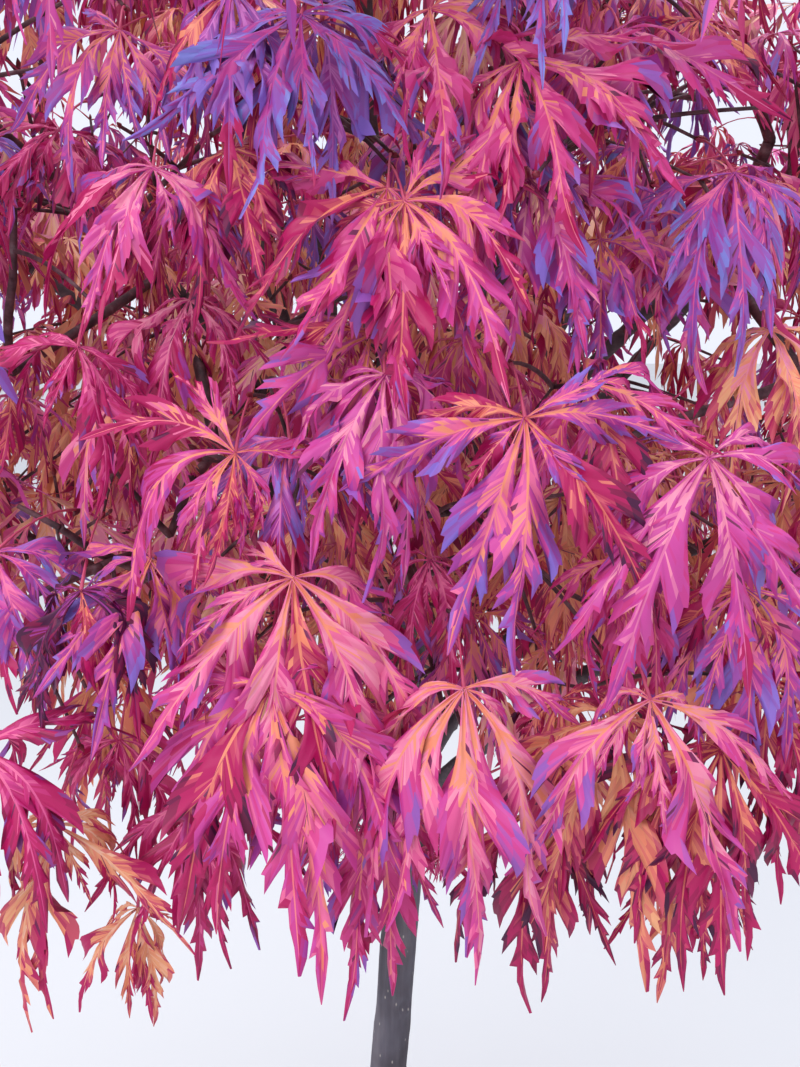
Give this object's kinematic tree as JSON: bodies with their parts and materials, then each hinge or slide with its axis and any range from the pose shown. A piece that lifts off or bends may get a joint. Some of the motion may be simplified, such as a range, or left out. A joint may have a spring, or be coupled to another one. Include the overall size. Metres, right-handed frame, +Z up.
{
  "type": "potted full moon maple tree",
  "caption": "Small fern-leaved maple tree in autumn leaf: a leaning trunk, spreading boughs and a rounded crown of drooping lobed leaves, standing in a plain nursery pot.",
  "frame": {"origin": "middle of the pot's flat underside, where it stands on the ground", "axes": "+Z up along the pot's axis; the trunk leans towards +X; the picture looks along +Y"},
  "size_m": [1.1749, 1.1468, 1.8061],
  "materials": {
    "pot": "satin",
    "soil": "matte",
    "bark": "matte",
    "bough_bark": "matte",
    "leaf_low": "satin",
    "leaf_middle": "satin",
    "leaf_high": "satin",
    "leaf_top": "satin"
  },
  "bodies": {
    "root": {"bough_high_1": "bough_bark", "bough_high_2": "bough_bark", "bough_high_3": "bough_bark", "bough_high_4": "bough_bark", "bough_low_1": "bough_bark", "bough_low_2": "bough_bark", "bough_low_3": "bough_bark", "bough_low_4": "bough_bark", "bough_low_5": "bough_bark", "bough_low_6": "bough_bark", "bough_low_7": "bough_bark", "bough_low_8": "bough_bark", "bough_middle_1": "bough_bark", "bough_middle_2": "bough_bark", "bough_middle_3": "bough_bark", "bough_middle_4": "bough_bark", "bough_middle_5": "bough_bark", "bough_middle_6": "bough_bark", "bough_middle_7": "bough_bark", "bough_middle_8": "bough_bark", "bough_top": "bough_bark", "foliage_high_1": "leaf_high", "foliage_high_2": "leaf_high", "foliage_high_3": "leaf_high", "foliage_high_4": "leaf_high", "foliage_low_1": "leaf_low", "foliage_low_2": "leaf_low", "foliage_low_3": "leaf_low", "foliage_low_4": "leaf_low", "foliage_low_5": "leaf_low", "foliage_low_6": "leaf_low", "foliage_low_7": "leaf_low", "foliage_low_8": "leaf_low", "foliage_middle_1": "leaf_middle", "foliage_middle_2": "leaf_middle", "foliage_middle_3": "leaf_middle", "foliage_middle_4": "leaf_middle", "foliage_middle_5": "leaf_middle", "foliage_middle_6": "leaf_middle", "foliage_middle_7": "leaf_middle", "foliage_middle_8": "leaf_middle", "foliage_top": "leaf_top", "pot": "pot", "potting_soil": "soil", "trunk": "bark"}
  },
  "joints": []
}
